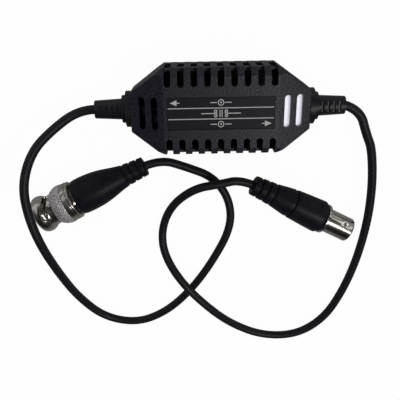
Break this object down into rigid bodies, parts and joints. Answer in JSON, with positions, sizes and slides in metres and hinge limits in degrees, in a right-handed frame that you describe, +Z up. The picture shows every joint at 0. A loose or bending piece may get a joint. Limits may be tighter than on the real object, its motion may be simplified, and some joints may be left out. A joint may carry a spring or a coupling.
{
  "type": "ground loop isolator",
  "caption": "Vented dark plastic isolator housing with a label plate and a coax tail at each end, leading to a bayonet plug with a turning nut and to a bayonet jack, both with ribbed boots.",
  "frame": {"origin": "middle of the housing's underside, on the surface it lies on", "axes": "+X along the housing from the plug's cable to the jack's cable, +Y across it away from the connectors, +Z up through the label"},
  "size_m": [0.1345, 0.1231, 0.0231],
  "materials": {
    "board": "satin",
    "boot_rubber": "satin",
    "cable_jacket": "glossy",
    "copper_wire": "enamelled",
    "ferrite": "matt",
    "gold": "gold plate",
    "housing_plastic": "fine-grained, semi-matt",
    "insulator_white": "matt",
    "label": "glossy",
    "label_print": "matt ink",
    "nickel": "polished nickel plate",
    "nylon": "matt",
    "relief_plastic": "satin",
    "seal": "matt",
    "solder": "bright",
    "spring_steel": "satin"
  },
  "bodies": {
    "isolator": {"circuit_board": "board", "insulating_pad": "insulator_white", "jack_body": "nickel", "jack_boot": "boot_rubber", "jack_cable_tip": "cable_jacket", "jack_contact": "gold", "jack_cord": "cable_jacket", "jack_crimp_ferrule": "nickel", "jack_insulator": "insulator_white", "jack_side_cable_end": "cable_jacket", "jack_side_cable_tie": "nylon", "jack_side_center_wire": "copper_wire", "jack_side_shield_wire": "copper_wire", "jack_side_strain_relief": "relief_plastic", "label_plate": "label", "label_print": "label_print", "lower_shell": "housing_plastic", "plug_body": "nickel", "plug_boot": "boot_rubber", "plug_cable_tip": "cable_jacket", "plug_cord": "cable_jacket", "plug_crimp_ferrule": "nickel", "plug_gasket": "seal", "plug_insulator": "insulator_white", "plug_pin": "gold", "plug_side_cable_end": "cable_jacket", "plug_side_cable_tie": "nylon", "plug_side_center_wire": "copper_wire", "plug_side_shield_wire": "copper_wire", "plug_side_strain_relief": "relief_plastic", "primary_winding": "copper_wire", "secondary_winding": "copper_wire", "solder_joints": "solder", "transformer_core": "ferrite", "upper_shell": "housing_plastic", "wave_washer": "spring_steel"},
    "nut_carrier": {"thrust_washer": "spring_steel"},
    "nut": {"coupling_nut": "nickel"}
  },
  "joints": [
    {"name": "nut_pull", "type": "slide", "parent": "isolator", "child": "nut_carrier", "axis": [-0.9117, -0.4021, 0.0849], "range_m": [0, 0.0008], "stiffness_N_per_m": 800, "springref_m": -0.0005, "deforming": ["wave_washer"]},
    {"name": "nut_turn", "type": "hinge", "parent": "nut_carrier", "child": "nut", "pos_m": [-0.05592, -0.03528, 0.00758], "axis": [-0.9117, -0.4021, 0.0849], "continuous": true}
  ]
}
